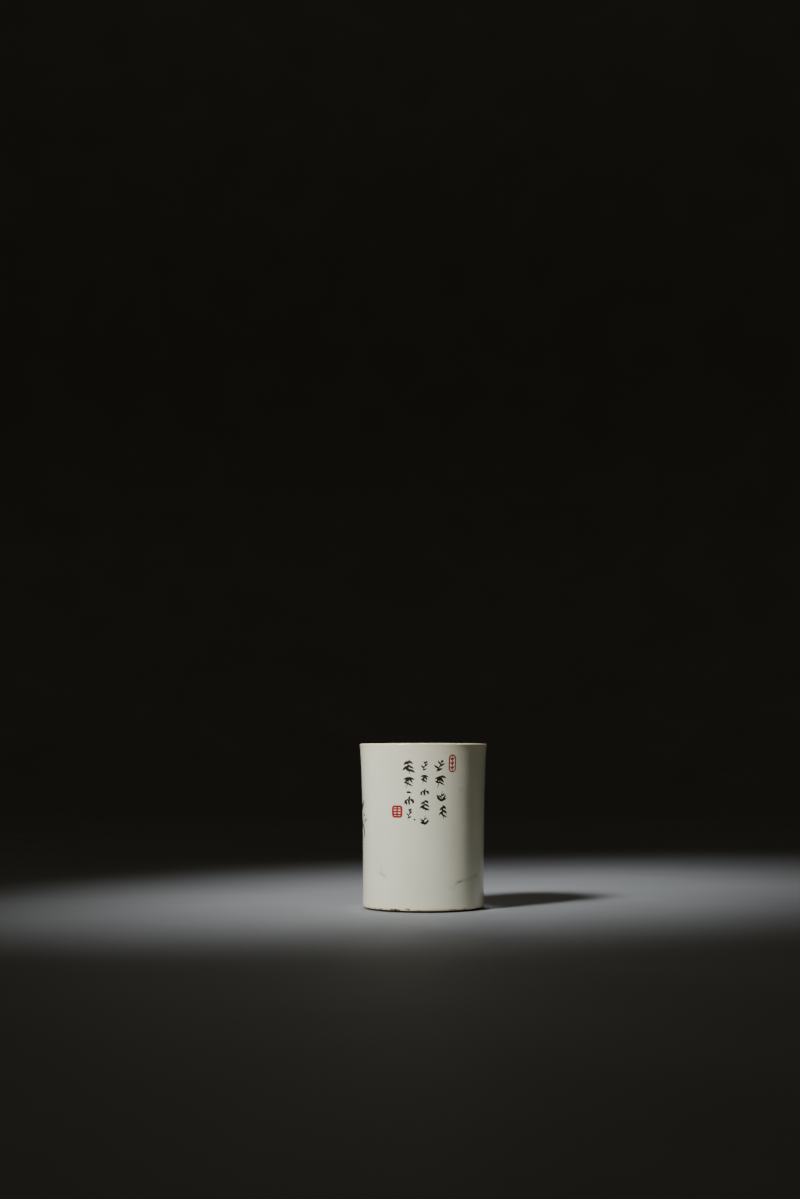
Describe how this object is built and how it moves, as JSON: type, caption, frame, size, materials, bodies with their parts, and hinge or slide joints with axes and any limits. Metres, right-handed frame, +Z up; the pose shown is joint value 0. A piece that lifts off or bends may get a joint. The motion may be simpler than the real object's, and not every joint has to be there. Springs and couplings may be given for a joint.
{
  "type": "brush holder pot",
  "caption": "Cylindrical glazed porcelain brush pot with a gently flared mouth, an unglazed foot ring and raised enamel sprigs, cartouches and a plum branch.",
  "frame": {"origin": "on the pot's axis, in the plane that the foot ring stands on", "axes": "+Z up along the pot's axis; the front, with the sprig columns, faces -Y; +X to the viewer's right"},
  "size_m": [0.103, 0.103, 0.13],
  "materials": {
    "biscuit": "matte",
    "glaze": "gloss",
    "ink": "satin",
    "branch_wash": "satin",
    "iron_red": "satin",
    "blossom_red": "satin"
  },
  "bodies": {
    "root": {"porcelain_wall": "biscuit", "floor_slab": "biscuit", "luting_coil": "biscuit", "outer_glaze": "glaze", "inner_glaze": "glaze", "base_glaze": "glaze", "ink_sprig_right_1": "ink", "ink_sprig_right_2": "ink", "ink_sprig_right_3": "ink", "ink_sprig_right_4": "ink", "ink_sprig_middle_1": "ink", "ink_sprig_middle_2": "ink", "ink_sprig_middle_3": "ink", "ink_sprig_middle_4": "ink", "ink_sprig_middle_5": "ink", "ink_sprig_left_1": "ink", "ink_sprig_left_2": "ink", "ink_sprig_left_3": "ink", "ink_sprig_left_4": "ink", "ink_sprig_left_5": "ink", "ink_dot": "ink", "upper_seal": "iron_red", "lower_seal": "iron_red", "plum_branch": "branch_wash", "plum_blossom_1": "blossom_red", "plum_blossom_2": "blossom_red", "plum_blossom_3": "blossom_red", "plum_blossom_4": "blossom_red", "plum_blossom_5": "blossom_red", "plum_blossom_6": "blossom_red", "plum_blossom_7": "blossom_red", "plum_blossom_8": "blossom_red", "plum_blossom_9": "blossom_red", "plum_blossom_10": "blossom_red", "plum_blossom_11": "blossom_red", "plum_bud_1": "branch_wash", "plum_bud_2": "branch_wash", "plum_bud_3": "branch_wash", "plum_bud_4": "branch_wash", "plum_bud_5": "branch_wash", "plum_bud_6": "branch_wash", "plum_bud_7": "branch_wash"}
  },
  "joints": []
}
